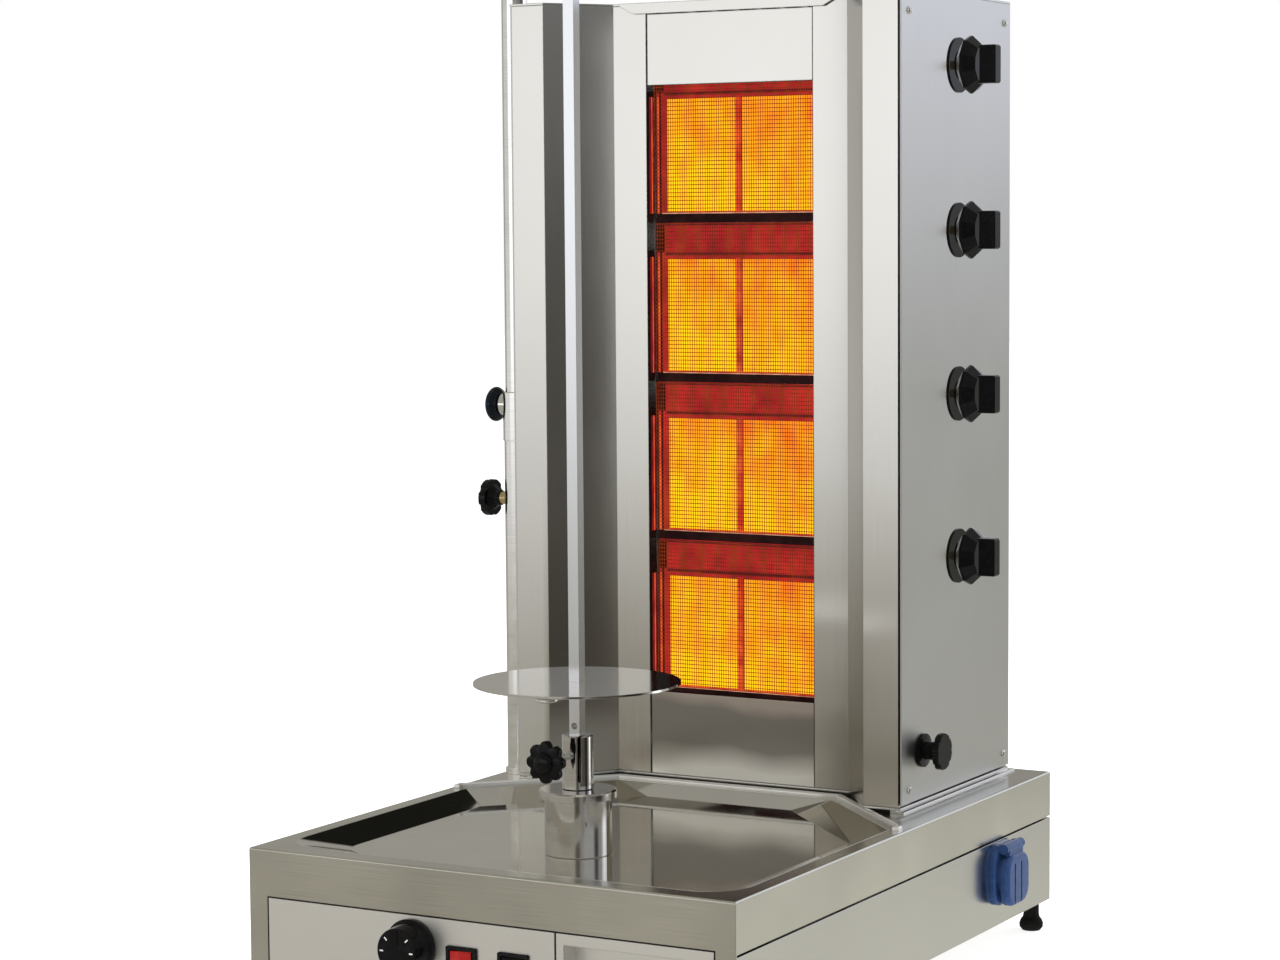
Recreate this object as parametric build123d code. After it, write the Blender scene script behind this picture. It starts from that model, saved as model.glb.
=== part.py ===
from build123d import *
import math
import os

os.makedirs("parts", exist_ok=True)

# Vertical rotisserie broiler: a gas gyros grill with four ceramic burners and a motor-driven spit.
# Millimetres. X to the right seen from the front, Y to the back, Z up, floor at Z = 0.

# Base cabinet
BASE_W = 460.0
BASE_D = 640.0
BASE_TOP = 150.0
FOOT_H = 28.0
SKIRT = 42.0
SHEET = 1.5
SEAM = 2.0
OPEN_HALF = 212.0
OPEN_TOP = BASE_TOP - 40.0
OPEN_LOW = FOOT_H + 8.0
PANEL_GAP = 1.3
FOOT_SPOTS = [(-213, -300), (213, -300), (-217, 306), (217, 306)]
GLAND_X = -150.0
GLAND_Z = BASE_TOP - 85.0

# Drip tray pressed into the top
RIM_HALF = 215.0
RIM_FRONT = -301.0
RIM_REAR = 96.0
TRAY_DEPTH = 11.0
DRAIN = (140.0, -264.0)
DRAIN_R = 6.0

# Spit
SPIT_Y = -167.0
BAR = 10.0
BAR_TOP = BASE_TOP + 879.0
DISC_R = 87.5
DISC_Z = BASE_TOP + 133.0
SHAFT_R = 6.0
CLAMP_Z = BASE_TOP + 74.0
HOUSING_R = 28.5
HOUSING_TOP = BASE_TOP + 37.0
COUPLING_LOW = BASE_TOP + 44.6
COUPLING_TOP = BASE_TOP + 90.0
SOCKET_FLOOR = BASE_TOP + 52.0
BRACKET_Z = BASE_TOP - 37.0

# Burner tower
T_HALF = 197.0
T_FRONT = 54.0
T_REAR = 297.0
T_LOW = BASE_TOP + 8.0
T_TOP = BASE_TOP + 720.0
FLARE_X = 161.0
STRIP_X = 119.4
STRIP_Y = 111.0
MOUTH = 85.3
FOLD = 1.5
PITCH = 147.0
BURNER_Z = [BASE_TOP + 140.0 + PITCH * i for i in range(4)]
PLATE_W = 73.0
PLATE_H = 107.0
DIVIDER = 5.0
KNOB_Y = 174.0
KNOB_Z = [BASE_TOP + 217.5 + 146.5 * i for i in range(4)]
TOWER_KNOB = (101.0, BASE_TOP + 51.0)
PIPE_X = 176.0
PIPE_Y = 214.0
INLET_X = 120.0
INLET_Z = BASE_TOP + 60.0

# Column beside the tower that holds the top of the spit
COL_X = -213.0
COL_Y = 89.0
COL_R = 13.5
ROD_R = 12.0
COL_TOP = BASE_TOP + 316.0
COLLAR_TOP = BASE_TOP + 362.0
ROD_TOP = BASE_TOP + 865.0
INDEX_Z = BASE_TOP + 349.6
STAR_Z = BASE_TOP + 261.0

# Controls on the front
DIAL = (-68.0, BASE_TOP - 67.0)
SWITCH_Z = BASE_TOP - 73.0
SWITCH_W = 28.6
SWITCH_H = 22.0
ROCKER_PIN_Y = 3.0
RED_X = -19.5
BLACK_X = 29.5
SOCKET_Y = 203.0
SOCKET_Z = BASE_TOP - 73.5
HINGE_X = BASE_W / 2 + 10.0
HINGE_Z = SOCKET_Z + 24.0


def box(x0, x1, y0, y1, z0, z1):
    centre = Pos((x0 + x1) / 2, (y0 + y1) / 2, (z0 + z1) / 2)
    return centre * Box(x1 - x0, y1 - y0, z1 - z0)


def rod_z(x, y, z0, z1, r):
    return Pos(x, y, (z0 + z1) / 2) * Cylinder(r, z1 - z0)


def rod_x(x0, x1, y, z, r):
    return Pos((x0 + x1) / 2, y, z) * Rot(0, 90, 0) * Cylinder(r, abs(x1 - x0))


def rod_y(x, y0, y1, z, r):
    return Pos(x, (y0 + y1) / 2, z) * Rot(90, 0, 0) * Cylinder(r, abs(y1 - y0))


def plan(points, z0, z1):
    face = make_face(Polyline(*points, close=True))
    return Pos(0, 0, z0) * extrude(face, z1 - z0, dir=(0, 0, 1))


def mirrored(shape):
    return mirror(shape, about=Plane.YZ)


def unit(a, b):
    length = math.hypot(b[0] - a[0], b[1] - a[1])
    return ((b[0] - a[0]) / length, (b[1] - a[1]) / length)


def folded(points, t, z0, z1):
    """Sheet folded along a line in plan, its thickness on the right-hand side of the line."""
    inner = []
    count = len(points)
    for i in range(count):
        before = unit(points[max(i - 1, 0)], points[max(i, 1)])
        after = unit(points[min(i, count - 2)], points[min(i + 1, count - 1)])
        n0 = (before[1], -before[0])
        n1 = (after[1], -after[0])
        scale = t / (1 + n0[0] * n1[0] + n0[1] * n1[1])
        x = points[i][0] + scale * (n0[0] + n1[0])
        y = points[i][1] + scale * (n0[1] + n1[1])
        inner.append((x, y))
    return plan(list(points) + inner[::-1], z0, z1)


def revolved(profile):
    """Solid of revolution about Z from (radius, height) points."""
    face = make_face(Polyline(*[(r, 0, z) for r, z in profile], close=True))
    return revolve(face, axis=Axis.Z)


def lobed(r, lobes, depth, thick):
    """Star grip lying in XY with its axis on Z, from 0 to thick."""
    body = Pos(0, 0, thick / 2) * Cylinder(r, thick)
    for i in range(lobes):
        a = 2 * math.pi * i / lobes
        x = (r + depth * 0.55) * math.cos(a)
        y = (r + depth * 0.55) * math.sin(a)
        body = body - Pos(x, y, thick / 2) * Cylinder(depth, thick + 2)
    return body


def tray_outline(grow, z, floor):
    """Rounded outline of the drip tray at its rim, or at its floor."""
    if floor:
        side, front, rear, cut, r = 186.0, -257.0, 84.0, 112.0, 34.0
    else:
        side, front, rear, cut, r = RIM_HALF, RIM_FRONT, RIM_REAR, 104.0, 40.0
    side = side + grow
    front = front - grow
    rear = rear + grow
    points = [
        (-side, front),
        (side, front),
        (side, rear - cut),
        (side - cut, rear),
        (cut - side, rear),
        (-side, rear - cut),
    ]
    face = make_face(Polyline(*points, close=True))
    corners = face.vertices().group_by(Axis.Y)[0]
    face = fillet(corners, r + grow)
    return Pos(0, 0, z) * face


# ---------------------------------------------------------------- base

def top_pan():
    half = BASE_W / 2
    deep = BASE_D / 2
    block = box(-half, half, -deep, deep, FOOT_H, BASE_TOP)
    block = fillet(block.edges().group_by(Axis.Z)[-1], 1.8)
    block = block - box(SHEET - half, half - SHEET, SHEET - deep, deep - SHEET, 0, BASE_TOP - SHEET)
    block = block - box(-half - 5, half + 5, SHEET - deep, deep + 5, 0, BASE_TOP - SKIRT)
    block = block - box(-OPEN_HALF, OPEN_HALF, -deep - 5, SHEET - deep + 5, OPEN_LOW, OPEN_TOP)
    hole = extrude(tray_outline(0.0, BASE_TOP - 10, False), 20, dir=(0, 0, 1))
    return block - hole


def drip_tray():
    low = BASE_TOP - TRAY_DEPTH
    outer = loft([tray_outline(0.0, BASE_TOP, False), tray_outline(1.5, low - 1.5, True)], ruled=True)
    inner = loft([tray_outline(-1.5, BASE_TOP, False), tray_outline(0.0, low, True)], ruled=True)
    spout = rod_z(DRAIN[0], DRAIN[1], low - 22, low + 3, DRAIN_R + 1.5)
    tray = outer + spout - inner
    tray = tray - rod_z(0, SPIT_Y, low - 20, low + 20, 9.0)
    return tray - rod_z(DRAIN[0], DRAIN[1], low - 30, low + 20, DRAIN_R)


def rear_lip():
    """Polished bead that keeps fat off the rear of the top."""
    side = RIM_HALF + 4
    rear = RIM_REAR + 4
    cut = 106.0
    outer = [(side, rear - cut - 6), (side, rear - cut), (side - cut, rear)]
    outer = outer + [(cut - side, rear), (-side, rear - cut), (-side, rear - cut - 6)]
    strip = folded(outer, 6.0, BASE_TOP, BASE_TOP + 3.8)
    return fillet(strip.edges().group_by(Axis.Z)[-1], 1.7)


def base_shell():
    half = BASE_W / 2
    deep = BASE_D / 2
    top = BASE_TOP - SKIRT - SEAM
    shell = box(-half, half, SHEET - deep, deep, FOOT_H, top)
    shell = shell - box(SHEET - half, half - SHEET, -deep - 5, deep - SHEET, FOOT_H + SHEET, top + 5)
    for side in (-1, 1):
        x0, x1 = sorted((side * (half - SHEET), side * (half - 14)))
        shell = shell + box(x0, x1, SHEET - deep, deep - SHEET, top - SHEET, top)
    shell = shell - rod_x(half - 5, half + 5, SOCKET_Y, SOCKET_Z, 19.0)
    shell = shell - rod_y(GLAND_X, deep - 5, deep + 5, GLAND_Z, 8.1)
    for i in range(9):
        x = -64.0 + 16.0 * i
        shell = shell - box(x - 3, x + 3, deep - 5, deep + 5, GLAND_Z - 8, GLAND_Z + 26)
        shell = shell - box(x - 3, x + 3, 40, 150, FOOT_H - 2, FOOT_H + 5)
    for x, y in FOOT_SPOTS:
        shell = shell - rod_z(x, y, FOOT_H - 3, FOOT_H + 5, 4.3)
    return shell


def feet():
    profile = [(0, 0), (8.5, 0), (11.0, 3.0), (11.2, 6.5), (10.2, 9.5), (8.0, 12.5), (7.3, 16)]
    profile = profile + [(7.3, FOOT_H), (4.2, FOOT_H), (4.2, FOOT_H + 8), (0, FOOT_H + 8)]
    one = revolved(profile)
    return Compound(children=[Pos(x, y, 0) * one for x, y in FOOT_SPOTS])


def control_panel():
    deep = BASE_D / 2
    x0 = PANEL_GAP - OPEN_HALF
    x1 = 67.6
    z0 = OPEN_LOW + PANEL_GAP
    z1 = OPEN_TOP - PANEL_GAP
    panel = box(x0, x1, -deep, 1.6 - deep, z0, z1)
    panel = panel + box(x0, x1, 1.6 - deep, 26 - deep, z1 - 1.6, z1)
    panel = panel + box(x1 - 1.6, x1, 1.6 - deep, 26 - deep, z0, z1)
    panel = panel - rod_y(DIAL[0], -deep - 5, 5 - deep, DIAL[1], 5.2)
    for x in (RED_X, BLACK_X):
        wide = SWITCH_W / 2 - 1.2
        tall = SWITCH_H / 2 - 1.2
        panel = panel - box(x - wide, x + wide, -deep - 5, 5 - deep, SWITCH_Z - tall, SWITCH_Z + tall)
    return panel


def regulator_body():
    front = 1.6 - BASE_D / 2
    body = box(DIAL[0] - 22, DIAL[0] + 22, front, front + 34, DIAL[1] - 22, DIAL[1] + 22)
    return body - rod_y(DIAL[0], front - 5, front + 40, DIAL[1], 3.05)


def thermostat_dial():
    face = -BASE_D / 2
    grip = revolved([(0, 0), (23.0, 0), (23.0, 3.0), (20.5, 5.0), (19.0, 21.0), (18.0, 22.0), (0, 22.0)])
    pointer = box(-1.0, 1.0, 5.0, 18.0, 21.5, 22.6)
    grip = grip + pointer
    grip = Pos(DIAL[0], face - 0.6, DIAL[1]) * Rot(90, 0, 0) * grip
    return grip + rod_y(DIAL[0], face - 2, face + 30, DIAL[1], 3.0)


def rocker_bezels():
    deep = BASE_D / 2
    made = []
    for x in (RED_X, BLACK_X):
        wide = SWITCH_W / 2
        tall = SWITCH_H / 2
        frame = box(x - wide, x + wide, -deep - 2.2, -deep, SWITCH_Z - tall, SWITCH_Z + tall)
        frame = fillet(frame.edges().filter_by(Axis.Y), 1.5)
        neck = box(x - wide + 1.3, x + wide - 1.3, -deep, 24 - deep, SWITCH_Z - tall + 1.3, SWITCH_Z + tall - 1.3)
        well = box(x - wide + 3, x + wide - 3, -deep - 5, 16 - deep, SWITCH_Z - tall + 3, SWITCH_Z + tall - 3)
        pin = rod_z(x, -deep + ROCKER_PIN_Y, SWITCH_Z - tall, SWITCH_Z + tall, 1.25)
        made.append(frame + neck - well - pin)
    return Compound(children=made)


def rocker(x):
    """Two-position rocker that tips about a vertical pin."""
    face = -BASE_D / 2
    wide = SWITCH_W / 2 - 4.7
    tall = SWITCH_H / 2 - 3.5
    line = [(-wide, -0.2), (-wide * 0.9, -4.4), (0, -1.4), (wide * 0.9, -0.2), (wide * 0.6, 6.0), (-wide * 0.6, 6.0)]
    cap = plan([(x + px, face + py) for px, py in line], SWITCH_Z - tall, SWITCH_Z + tall)
    return cap + rod_z(x, face + ROCKER_PIN_Y, SWITCH_Z - tall - 1.6, SWITCH_Z + tall + 1.6, 1.2)


def drawer_front():
    deep = BASE_D / 2
    x0 = 69.2
    x1 = OPEN_HALF - PANEL_GAP
    z0 = OPEN_LOW + PANEL_GAP
    z1 = OPEN_TOP - PANEL_GAP
    front = box(x0, x1, -deep, 20 - deep, z0, z1)
    front = front - box(x0 + 1.6, x1 - 1.6, 1.6 - deep, 18.4 - deep, z0 + 1.6, z1 - 1.6)
    pull = box(x0 + 7, x1 - 4, -deep - 5, 18.4 - deep, z1 - 48, z1 - 9)
    front = front - pull
    liner = box(x0 + 5.4, x1 - 2.4, 1.6 - deep, 18.4 - deep, z1 - 49.6, z1 - 7.4)
    liner = liner - box(x0 + 7, x1 - 4, -deep, 16.8 - deep, z1 - 48, z1 - 9)
    return front + liner


def drawer_pan():
    y0 = 20 - BASE_D / 2
    low = OPEN_LOW + 9.0
    pan = box(76, 204, y0, -70, low, low + 58)
    return pan - box(77.2, 202.8, y0 + 1.2, -71.2, low + 1.2, low + 62)


def drawer_runners():
    front = 8 - BASE_D / 2
    made = []
    for wall, inner in ((74.2, 82), (206, 198)):
        x0, x1 = sorted((wall, inner))
        shelf = box(x0, x1, front + 14, -60, OPEN_LOW + 6.6, OPEN_LOW + 8.4)
        w0, w1 = sorted((wall, wall + (-1.8 if wall < 100 else 1.8)))
        web = box(w0, w1, front + 14, -60, FOOT_H + SHEET, OPEN_LOW + 34)
        made.append(shelf + web)
    return Compound(children=made)


def cable_gland():
    rear = BASE_D / 2
    body = rod_y(GLAND_X, rear - 12, rear + 18, GLAND_Z, 8.0) + rod_y(GLAND_X, rear, rear + 6, GLAND_Z, 12.0)
    body = body + rod_y(GLAND_X, rear - 9, rear - SHEET, GLAND_Z, 12.0)
    return body - rod_y(GLAND_X, rear - 20, rear + 30, GLAND_Z, 4.5)


def rounded_plate(x0, x1, wide, low, high, r):
    """Upright plate on the right-hand side of the base, with rounded corners."""
    plate = box(x0, x1, SOCKET_Y - wide, SOCKET_Y + wide, SOCKET_Z + low, SOCKET_Z + high)
    return fillet(plate.edges().filter_by(Axis.X), r)


def socket_body():
    half = BASE_W / 2
    plate = rounded_plate(half, half + 5, 27.5, -29.5, 27.0, 17)
    plate = fillet(plate.edges().group_by(Axis.X)[-1], 2)
    cup = rod_x(half - 34, half + 9, SOCKET_Y, SOCKET_Z, 18.8) + rod_x(half, half + 9, SOCKET_Y, SOCKET_Z, 22)
    body = plate + cup - rod_x(half - 14, half + 12, SOCKET_Y, SOCKET_Z, 17.0)
    for dy in (-9.5, 9.5):
        body = body - rod_x(half - 30, half, SOCKET_Y + dy, SOCKET_Z, 2.4)
    for side in (-1, 1):
        y0, y1 = sorted((SOCKET_Y + side * 16, SOCKET_Y + side * 20))
        ear = rod_y(HINGE_X, y0, y1, HINGE_Z, 4.6)
        foot = box(half + 3, HINGE_X, y0, y1, HINGE_Z - 3, HINGE_Z + 3)
        body = body + ear + foot
    body = body - rod_x(half - 14, half + 12, SOCKET_Y, SOCKET_Z, 17.0)
    body = body - rod_y(HINGE_X, SOCKET_Y - 15.9, SOCKET_Y + 15.9, HINGE_Z, 5.1)
    return body + rod_y(HINGE_X, SOCKET_Y - 18, SOCKET_Y + 18, HINGE_Z, 1.5)


def socket_lid():
    half = BASE_W / 2
    lid = rounded_plate(half + 9.4, half + 17.5, 25, -29.0, 18.0, 15)
    lid = fillet(lid.edges().group_by(Axis.X)[-1], 4)
    for y in (SOCKET_Y - 10, SOCKET_Y + 5):
        lid = lid - box(half + 13.5, half + 20, y - 1.4, y + 1.4, SOCKET_Z - 32, SOCKET_Z + 10)
    knuckle = rod_y(HINGE_X, SOCKET_Y - 15.7, SOCKET_Y + 15.7, HINGE_Z, 4.6)
    web = box(half + 9.6, half + 14.4, SOCKET_Y - 15.7, SOCKET_Y + 15.7, SOCKET_Z + 15, SOCKET_Z + 24)
    return lid + knuckle + web - rod_y(HINGE_X, SOCKET_Y - 30, SOCKET_Y + 30, HINGE_Z, 1.55)


# ---------------------------------------------------------------- spit drive

def gear_motor():
    gearbox = box(-32, 46, SPIT_Y - 32, SPIT_Y + 32, BRACKET_Z - 36, BRACKET_Z - 6)
    gearbox = fillet(gearbox.edges().filter_by(Axis.Z), 5)
    motor = rod_z(18, SPIT_Y, BRACKET_Z - 74, BRACKET_Z - 36, 27)
    boss = rod_z(0, SPIT_Y, BRACKET_Z - 6, BRACKET_Z, 13)
    body = gearbox + motor + boss
    return body - rod_z(0, SPIT_Y, BRACKET_Z - 40, BRACKET_Z + 12, SHAFT_R + 0.05)


def motor_bracket():
    top = BRACKET_Z + 2.5
    plate = box(-40, 60, SPIT_Y - 40, SPIT_Y + 40, BRACKET_Z, top)
    plate = plate - rod_z(0, SPIT_Y, BRACKET_Z - 8, BRACKET_Z + 12, 11)
    for side in (-1, 1):
        y0, y1 = sorted((SPIT_Y + side * 40, SPIT_Y + side * 37.5))
        plate = plate + box(-40, 60, y0, y1, top, BASE_TOP - TRAY_DEPTH - 1.5)
    return plate


def drive_shaft():
    return rod_z(0, SPIT_Y, BRACKET_Z - 28, SOCKET_FLOOR - 1, SHAFT_R)


def bearing_housing():
    low = BASE_TOP - TRAY_DEPTH
    body = rod_z(0, SPIT_Y, low, HOUSING_TOP, HOUSING_R)
    body = body - rod_z(0, SPIT_Y, low - 5, HOUSING_TOP + 8, SHAFT_R + 0.05)
    flat = Pos(0, SPIT_Y, BASE_TOP + 8.5) * Rot(0, 0, -29) * Pos(0, -HOUSING_R, 0) * Box(30, 4, 14)
    body = body - flat
    return fillet(body.edges().group_by(Axis.Z)[0].sort_by(Edge.length)[-1], 0.8)


def bearing_cap():
    top = HOUSING_TOP + 7.0
    bore = SHAFT_R + 0.3
    cap = revolved([(bore, HOUSING_TOP), (33.0, HOUSING_TOP), (33.0, top - 1.4), (31.6, top), (bore, top)])
    return Pos(0, SPIT_Y, 0) * cap


def spit_coupling():
    body = rod_z(0, SPIT_Y, COUPLING_LOW, COUPLING_TOP, 13.25)
    body = chamfer(body.edges().group_by(Axis.Z)[-1], 1.0)
    seat = BAR / 2 + 0.15
    body = body - Pos(0, SPIT_Y, 0) * box(-seat, seat, -seat, seat, SOCKET_FLOOR, COUPLING_TOP + 15)
    body = body - rod_z(0, SPIT_Y, COUPLING_LOW - 10, SOCKET_FLOOR - 1, SHAFT_R)
    body = body - Pos(0, SPIT_Y, 0) * box(6.5, 9.0, -20, 0, SOCKET_FLOOR - 1, COUPLING_TOP + 5)
    return body - rod_y(0, SPIT_Y - 20, SPIT_Y, CLAMP_Z, 3.75)


def coupling_knob():
    star = fillet(lobed(18.2, 8, 3.6, 9).edges().group_by(Axis.Z)[-1], 1.6)
    star = star + revolved([(0, 8), (9.0, 8), (8.0, 10.4), (4.0, 11.6), (0, 11.8)])
    star = star + Pos(0, 0, -4) * Cylinder(8.5, 8)
    star = Pos(0, SPIT_Y - 52, CLAMP_Z) * Rot(90, 0, 0) * star
    stud = rod_y(0, SPIT_Y - 54, SPIT_Y - BAR / 2 - 0.4, CLAMP_Z, 3.65)
    return star + stud


def spit_bar():
    low = SOCKET_FLOOR + 0.6
    bar = Pos(0, SPIT_Y, 0) * box(-BAR / 2, BAR / 2, -BAR / 2, BAR / 2, low, BAR_TOP - 14)
    point = Pos(0, SPIT_Y, BAR_TOP - 14) * loft([Rectangle(BAR, BAR), Pos(0, 0, 14) * Rectangle(3, 3)])
    bar = bar + point
    bar = bar - rod_y(0, SPIT_Y - 10, SPIT_Y + 10, COUPLING_TOP + 7.5, 2.8)
    return bar - rod_y(0, SPIT_Y - 10, SPIT_Y + 10, DISC_Z - 4.6, 2.0)


def disc_clip():
    """Bent wire pin through the bar that the disc rests on."""
    z = DISC_Z - 4.6
    r = 1.9
    pin = rod_y(0, SPIT_Y - 62, SPIT_Y + 16, z, r)
    bend = Pos(8, SPIT_Y - 62, z) * Rot(0, 0, 180) * Torus(8, r)
    bend = bend & box(-5, 25, SPIT_Y - 90, SPIT_Y - 62, z - 5, z + 5)
    tail = rod_y(16, SPIT_Y - 62, SPIT_Y - 14, z, r)
    return pin + bend + tail


def meat_disc():
    disc = rod_z(0, SPIT_Y, DISC_Z, DISC_Z + 2.0, DISC_R)
    hub = rod_z(0, SPIT_Y, DISC_Z - 2.4, DISC_Z, 11.0)
    disc = disc + hub
    hole = Pos(0, SPIT_Y, DISC_Z) * Box(BAR + 0.5, BAR + 0.5, 30)
    return disc - hole


# ---------------------------------------------------------------- column and arm

def column_tube():
    tube = rod_z(COL_X, COL_Y, BASE_TOP + 5, COL_TOP, COL_R)
    tube = tube + rod_z(COL_X, COL_Y, BASE_TOP, BASE_TOP + 5, 15.5)
    tube = tube - rod_z(COL_X, COL_Y, BASE_TOP + 8, COL_TOP + 5, ROD_R + 0.06)
    return tube - rod_x(COL_X - 30, COL_X, COL_Y, STAR_Z, 5.0)


def column_collar():
    collar = rod_z(COL_X, COL_Y, COL_TOP, COLLAR_TOP, COL_R + 1.0)
    collar = chamfer(collar.edges().group_by(Axis.Z)[-1], 0.8)
    boss = rod_x(COL_X - 16.4, COL_X, COL_Y, INDEX_Z, 10.5)
    collar = collar + boss
    collar = collar - rod_z(COL_X, COL_Y, COL_TOP - 5, COLLAR_TOP + 5, ROD_R + 0.06)
    return collar - rod_x(COL_X - 40, COL_X, COL_Y, INDEX_Z, 3.05)


def column_clamp_bush():
    bush = rod_x(COL_X - 19, COL_X - COL_R + 1, COL_Y, STAR_Z, 6.0)
    bush = bush - rod_z(COL_X, COL_Y, STAR_Z - 20, STAR_Z + 20, COL_R)
    bush = bush + rod_x(COL_X - 15, COL_X - ROD_R - 0.5, COL_Y, STAR_Z, 4.95)
    return bush - rod_x(COL_X - 30, COL_X, COL_Y, STAR_Z, 3.05)


def column_clamp_knob():
    star = fillet(lobed(17.2, 6, 4.0, 7.5).edges().group_by(Axis.Z)[-1], 1.4)
    star = star + revolved([(0, -9), (7.0, -9), (8.0, -5), (12.5, 0.5), (0, 0.5)])
    star = star + revolved([(0, 7), (8.0, 7), (7.0, 9.0), (0, 9.6)])
    star = Pos(COL_X - 28.2, COL_Y, STAR_Z) * Rot(0, -90, 0) * star
    return star + rod_x(COL_X - 30, COL_X - ROD_R - 0.4, COL_Y, STAR_Z, 3.0)


def index_knob():
    """Flattened ball grip on a spring plunger."""
    wide = 16.3
    thin = 7.6
    steps = 24
    angles = [math.radians(-76 + 152 * i / steps) for i in range(steps + 1)]
    line = [(wide * math.cos(a), thin * math.sin(a)) for a in angles]
    ball = revolved([(0, line[0][1])] + line + [(0, line[-1][1])])
    ball = Pos(COL_X - 24.3, COL_Y, INDEX_Z) * Rot(0, 90, 0) * ball
    return ball + rod_x(COL_X - 22, COL_X - ROD_R + 2.0, COL_Y, INDEX_Z, 3.0)


def column_rod():
    rod = rod_z(COL_X, COL_Y, COL_TOP - 220, ROD_TOP, ROD_R)
    rod = rod - box(COL_X - 20, COL_X - ROD_R + 2.4, COL_Y - 3.2, COL_Y + 3.2, INDEX_Z - 200, INDEX_Z + 30)
    shoulder = rod_z(COL_X, COL_Y, ROD_TOP - 40, ROD_TOP - 34, ROD_R + 4)
    return rod + shoulder - rod_z(COL_X, COL_Y, COL_TOP - 230, ROD_TOP - 46, 8.6)


def arm_place(shape):
    angle = math.degrees(math.atan2(SPIT_Y - COL_Y, 0 - COL_X))
    return Pos(COL_X, COL_Y, 0) * Rot(0, 0, angle) * shape


def top_arm():
    reach = math.hypot(COL_X, SPIT_Y - COL_Y)
    z0 = ROD_TOP - 33.6
    hub = rod_z(0, 0, z0, z0 + 30, 20.0)
    beam = box(14, reach - 24, -8, 8, z0 + 6, z0 + 24)
    beam = fillet(beam.edges().filter_by(Axis.X), 3)
    head = rod_z(reach, 0, z0 + 6, z0 + 24, 24.5)
    slot = box(reach - 12, reach + 12, 0, 40, z0, z0 + 30)
    arm = hub + beam + head - rod_z(reach, 0, z0, z0 + 30, 12.0) - slot
    arm = arm - rod_z(0, 0, z0 - 5, z0 + 40, ROD_R + 0.06)
    return arm_place(arm)


def arm_bush():
    reach = math.hypot(COL_X, SPIT_Y - COL_Y)
    z0 = ROD_TOP - 33.6
    liner = rod_z(reach, 0, z0 + 5, z0 + 25, 12.0) + box(reach - 12, reach + 12, 0, 19, z0 + 6, z0 + 24)
    slot = rod_z(reach, 0, z0, z0 + 30, 7.2) + box(reach - 8.2, reach + 8.2, 0, 40, z0, z0 + 30)
    return arm_place(liner - slot)


# ---------------------------------------------------------------- burner tower

def slide_rails():
    """Flat bars under the tower: a raised track with a low outer flange."""
    made = []
    for side in (-1, 1):
        x0, x1 = sorted((side * 184.0, side * 190.0))
        track = box(x0, x1, 60, 312, BASE_TOP, BASE_TOP + 3.6)
        x0, x1 = sorted((side * 190.0, side * 197.2))
        flange = box(x0, x1, 60, 312, BASE_TOP, BASE_TOP + 1.5)
        made.append(track + flange)
    return Compound(children=made)


def tower_plan(inset, rear):
    x = T_HALF - inset
    front = T_FRONT + inset
    return [
        (x, front),
        (x, rear),
        (-x, rear),
        (-x, front),
        (-FLARE_X, front),
        (-STRIP_X, STRIP_Y + inset),
        (STRIP_X, STRIP_Y + inset),
        (FLARE_X, front),
    ]


def tower_floor():
    z0 = BASE_TOP + 4.0
    floor = plan(tower_plan(0.4, T_REAR - 0.4), z0, z0 + 2.0)
    for side in (-1, 1):
        x0, x1 = sorted((side * 178.0, side * 183.6))
        floor = floor + box(x0, x1, 130, 270, BASE_TOP + 0.4, z0)
    for x in (-100, -50, 0, 50, 100):
        floor = floor - rod_z(x, 210, z0 - 5, z0 + 5, 9)
    return floor


def wing_right():
    line = [(T_HALF - 2.4, 80), (T_HALF - 2.4, T_FRONT), (FLARE_X, T_FRONT), (STRIP_X, STRIP_Y)]
    line = line + [(MOUTH, STRIP_Y), (MOUTH, STRIP_Y + 14)]
    wing = folded(line, FOLD, BASE_TOP + 6.4, T_TOP - 2.2)
    for z in (T_LOW + 12, T_TOP - 20):
        wing = wing - rod_x(T_HALF - 5, T_HALF + 5, 72, z, 1.8)
    return wing


def side_panel_right():
    line = [(T_HALF - 14, T_REAR), (T_HALF, T_REAR), (T_HALF, T_FRONT + 1.8)]
    panel = folded(line, 1.4, T_LOW, T_TOP - 2.2)
    for z in KNOB_Z:
        panel = panel - rod_x(T_HALF - 5, T_HALF + 5, KNOB_Y, z, 5.2)
    panel = panel - rod_x(T_HALF - 5, T_HALF + 5, TOWER_KNOB[0], TOWER_KNOB[1], 6.2)
    return panel - panel_screw_holes()


def side_panel_left():
    line = [(T_HALF - 14, T_REAR), (T_HALF, T_REAR), (T_HALF, T_FRONT + 1.8)]
    panel = folded(line, 1.4, T_LOW, T_TOP - 2.2)
    return mirrored(panel - panel_screw_holes())


def screw_spots():
    return [(72, T_LOW + 12), (72, T_TOP - 20), (284, T_LOW + 12), (284, T_TOP - 20)]


def panel_screw_holes():
    holes = [rod_x(T_HALF - 5, T_HALF + 5, y, z, 1.8) for y, z in screw_spots()]
    return Compound(children=holes)


def tower_screws():
    made = []
    for y, z in screw_spots():
        head = revolved([(0, 0), (3.6, 0), (3.2, 1.4), (1.8, 2.2), (0, 2.3)])
        head = head - Box(5, 0.8, 2.2).moved(Location((0, 0, 2.2)))
        screw = Pos(T_HALF, y, z) * Rot(0, 90, 0) * head + rod_x(T_HALF - 8, T_HALF, y, z, 1.7)
        made.append(screw)
        made.append(mirrored(screw))
    return Compound(children=made)


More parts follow.
